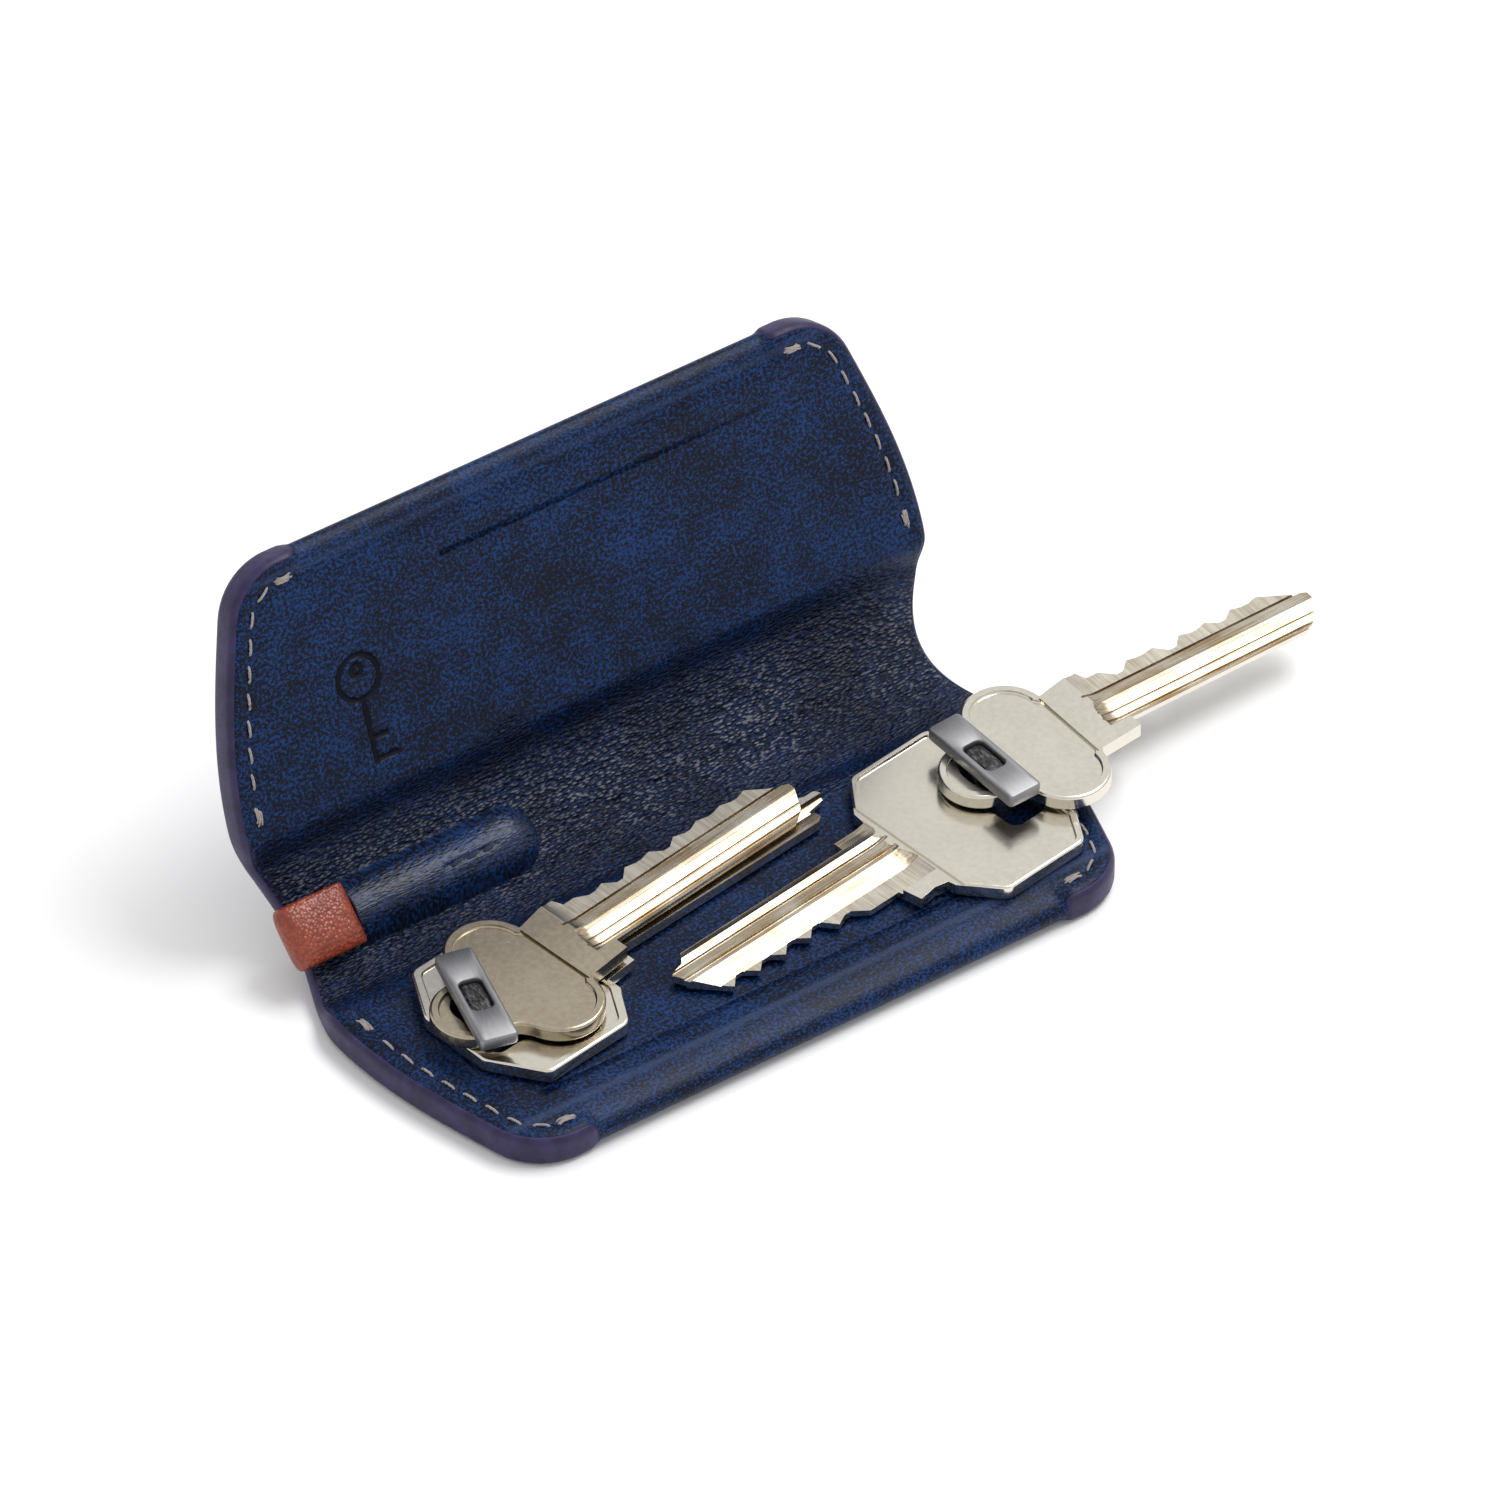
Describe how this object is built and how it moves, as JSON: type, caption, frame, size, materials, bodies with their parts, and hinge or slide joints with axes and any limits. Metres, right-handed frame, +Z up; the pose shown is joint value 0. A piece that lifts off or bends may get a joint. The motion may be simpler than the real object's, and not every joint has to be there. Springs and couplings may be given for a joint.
{
  "type": "key organiser",
  "caption": "Folding leather key cover, half open, with keys swivelling on two cord loops held by steel toggle bars, and a leather pull tab.",
  "frame": {"origin": "middle of the base flap's underside, on the surface it lies on", "axes": "+X along the spine, +Y from the front turned edge towards the spine and lid, +Z up"},
  "size_m": [0.1358, 0.0646, 0.0482],
  "materials": {
    "blue_leather": "semi-gloss speckled leather",
    "spine_leather": "pebbled semi-gloss leather",
    "tan_leather": "glossy pebbled leather",
    "edge_paint": "satin edge paint",
    "taupe_thread": "waxed polyester thread",
    "blue_thread": "waxed polyester thread",
    "stiffener_board": "matt fibre board",
    "magnet": "nickel plate",
    "black_cord": "woven elastic cord",
    "anchor_steel": "pressed steel",
    "toggle_steel": "satin brushed steel",
    "key_nickel": "nickel-plated brass"
  },
  "bodies": {
    "base": {"base_outer_leather": "blue_leather", "base_stiffener_board": "stiffener_board", "base_lining": "blue_leather", "base_left_magnet": "magnet", "base_right_magnet": "magnet", "base_left_stitching": "taupe_thread", "base_right_stitching": "taupe_thread", "left_cord_anchor": "anchor_steel", "right_cord_anchor": "anchor_steel"},
    "spine": {"spine_outer_leather": "blue_leather", "spine_lining": "spine_leather", "tab_tunnel": "spine_leather", "tunnel_stitching": "blue_thread"},
    "lid": {"lid_outer_leather": "blue_leather", "lid_stiffener_board": "stiffener_board", "lid_lining": "blue_leather", "lid_left_magnet": "magnet", "lid_right_magnet": "magnet", "lid_left_stitching": "taupe_thread", "lid_right_stitching": "taupe_thread"},
    "tab": {"pull_tab": "tan_leather", "tab_webbing": "black_cord"},
    "left_cord_head": {"left_cord": "black_cord"},
    "left_toggle_bar": {"left_toggle": "toggle_steel"},
    "right_cord_head": {"right_cord": "black_cord"},
    "right_toggle_bar": {"right_toggle": "toggle_steel"},
    "left_lower_key": {"left_lower_key": "key_nickel"},
    "left_upper_key": {"left_upper_key": "key_nickel"},
    "right_lower_key": {"right_lower_key": "key_nickel"},
    "right_upper_key": {"right_upper_key": "key_nickel"}
  },
  "joints": [
    {"name": "spine_fold", "type": "hinge", "parent": "base", "child": "spine", "pos_m": [0, 0.0233, 0.0026], "axis": [-1, 0, 0], "range_deg": [-55, 35]},
    {"name": "lid_fold", "type": "hinge", "parent": "spine", "child": "lid", "pos_m": [0, 0.03133, 0.00983], "axis": [-1, 0, 0], "range_deg": [-55, 35]},
    {"name": "tab_slide", "type": "slide", "parent": "spine", "child": "tab", "axis": [-1, 0, 0], "range_m": [0, 0.008]},
    {"name": "left_cord_stretch", "type": "slide", "parent": "base", "child": "left_cord_head", "axis": [0, 0, 1], "range_m": [0, 0.01], "stiffness_N_per_m": 60, "deforming": ["left_cord"]},
    {"name": "left_toggle_tilt", "type": "hinge", "parent": "left_cord_head", "child": "left_toggle_bar", "pos_m": [-0.0364, 0.0034, 0.0096], "axis": [0.9703, -0.2419, 0], "range_deg": [0, 62.5]},
    {"name": "right_cord_stretch", "type": "slide", "parent": "base", "child": "right_cord_head", "axis": [0, 0, 1], "range_m": [0, 0.01], "stiffness_N_per_m": 60, "deforming": ["right_cord"]},
    {"name": "right_toggle_tilt", "type": "hinge", "parent": "right_cord_head", "child": "right_toggle_bar", "pos_m": [0.0364, 0.0034, 0.0096], "axis": [0.999, 0.0436, 0], "range_deg": [0, 62.5]},
    {"name": "left_lower_key_swivel", "type": "hinge", "parent": "base", "child": "left_lower_key", "pos_m": [-0.0364, 0.0034, 0.0055], "axis": [0, 0, 1], "range_deg": [-3, 6]},
    {"name": "left_upper_key_swivel", "type": "hinge", "parent": "base", "child": "left_upper_key", "pos_m": [-0.0364, 0.0034, 0.0076], "axis": [0, 0, 1], "range_deg": [-165, 6]},
    {"name": "right_lower_key_swivel", "type": "hinge", "parent": "base", "child": "right_lower_key", "pos_m": [0.0364, 0.0034, 0.0055], "axis": [0, 0, 1], "range_deg": [0, 170]},
    {"name": "right_upper_key_swivel", "type": "hinge", "parent": "base", "child": "right_upper_key", "pos_m": [0.0364, 0.0034, 0.0076], "axis": [0, 0, 1], "range_deg": [-173, 20]}
  ],
  "couplings": [
    {"joint": "lid_fold", "follows": "spine_fold", "ratio": 1},
    {"joint": "left_toggle_tilt", "follows": "left_cord_stretch", "rad_per_m": 108},
    {"joint": "right_toggle_tilt", "follows": "right_cord_stretch", "rad_per_m": 108}
  ]
}
